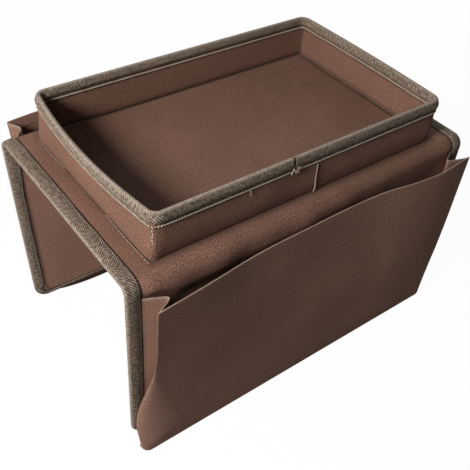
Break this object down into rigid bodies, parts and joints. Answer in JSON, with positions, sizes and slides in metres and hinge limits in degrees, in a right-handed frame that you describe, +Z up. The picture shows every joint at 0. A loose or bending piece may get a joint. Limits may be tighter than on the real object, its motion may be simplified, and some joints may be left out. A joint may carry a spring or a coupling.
{
  "type": "sofa armrest organizer",
  "caption": "Stiffened cloth saddle that lies over a sofa's arm, with a walled tray on top and an expanding pocket on each hanging flap.",
  "frame": {"origin": "middle of the saddle top's underside, the face that lies on the sofa's arm", "axes": "+X along the arm towards the right end, +Y across the arm towards the far side, +Z up"},
  "size_m": [0.385, 0.2976, 0.2569],
  "materials": {
    "cover_cloth": "matte woven polyester",
    "lining_cloth": "matte woven polyester",
    "pocket_cloth": "matte woven polyester",
    "binding_tape": "ribbed binding tape",
    "stiffener_card": "grey card"
  },
  "bodies": {
    "saddle": {"far_fold_cover": "cover_cloth", "far_fold_left_tape": "binding_tape", "far_fold_lining": "lining_cloth", "far_fold_right_tape": "binding_tape", "near_fold_cover": "cover_cloth", "near_fold_left_tape": "binding_tape", "near_fold_lining": "lining_cloth", "near_fold_right_tape": "binding_tape", "top_board": "stiffener_card", "top_cover": "cover_cloth", "top_left_tape": "binding_tape", "top_lining": "lining_cloth", "top_right_tape": "binding_tape", "tray_far_board": "stiffener_card", "tray_floor_board": "stiffener_card", "tray_floor_cover": "lining_cloth", "tray_left_board": "stiffener_card", "tray_near_board": "stiffener_card", "tray_right_board": "stiffener_card", "tray_rim_tape": "binding_tape", "tray_wall_cover": "cover_cloth", "tray_wall_lining": "lining_cloth"},
    "near_flap": {"near_flap_board": "stiffener_card", "near_flap_cover": "cover_cloth", "near_flap_lining": "lining_cloth", "near_flap_tape": "binding_tape", "near_pocket_bottom": "pocket_cloth", "near_pocket_left_pleat": "pocket_cloth", "near_pocket_right_pleat": "pocket_cloth"},
    "near_pocket": {"near_pocket_front": "pocket_cloth", "near_pocket_hem": "pocket_cloth"},
    "far_flap": {"far_flap_board": "stiffener_card", "far_flap_cover": "cover_cloth", "far_flap_lining": "lining_cloth", "far_flap_tape": "binding_tape", "far_pocket_bottom": "pocket_cloth", "far_pocket_left_pleat": "pocket_cloth", "far_pocket_right_pleat": "pocket_cloth"},
    "far_pocket": {"far_pocket_front": "pocket_cloth", "far_pocket_hem": "pocket_cloth"}
  },
  "joints": [
    {"name": "near_flap_fold", "type": "hinge", "parent": "saddle", "child": "near_flap", "pos_m": [0, -0.10865, -0.0019], "axis": [1, 0, 0], "range_deg": [-90, 90], "deforming": ["near_fold_cover", "near_fold_lining", "near_fold_left_tape", "near_fold_right_tape"]},
    {"name": "far_flap_fold", "type": "hinge", "parent": "saddle", "child": "far_flap", "pos_m": [0, 0.10935, -0.0019], "axis": [-1, 0, 0], "range_deg": [-97.5, 7.5], "deforming": ["far_fold_cover", "far_fold_lining", "far_fold_left_tape", "far_fold_right_tape"]},
    {"name": "near_pocket_open", "type": "hinge", "parent": "near_flap", "child": "near_pocket", "pos_m": [0, -0.12815, -0.204], "axis": [1, 0, 0], "range_deg": [-1.8, 5.8], "deforming": ["near_pocket_left_pleat", "near_pocket_right_pleat"]},
    {"name": "far_pocket_open", "type": "hinge", "parent": "far_flap", "child": "far_pocket", "pos_m": [0, 0.10231, -0.20482], "axis": [-1, 0, 0], "range_deg": [-11, 1.3], "deforming": ["far_pocket_left_pleat", "far_pocket_right_pleat"]}
  ]
}
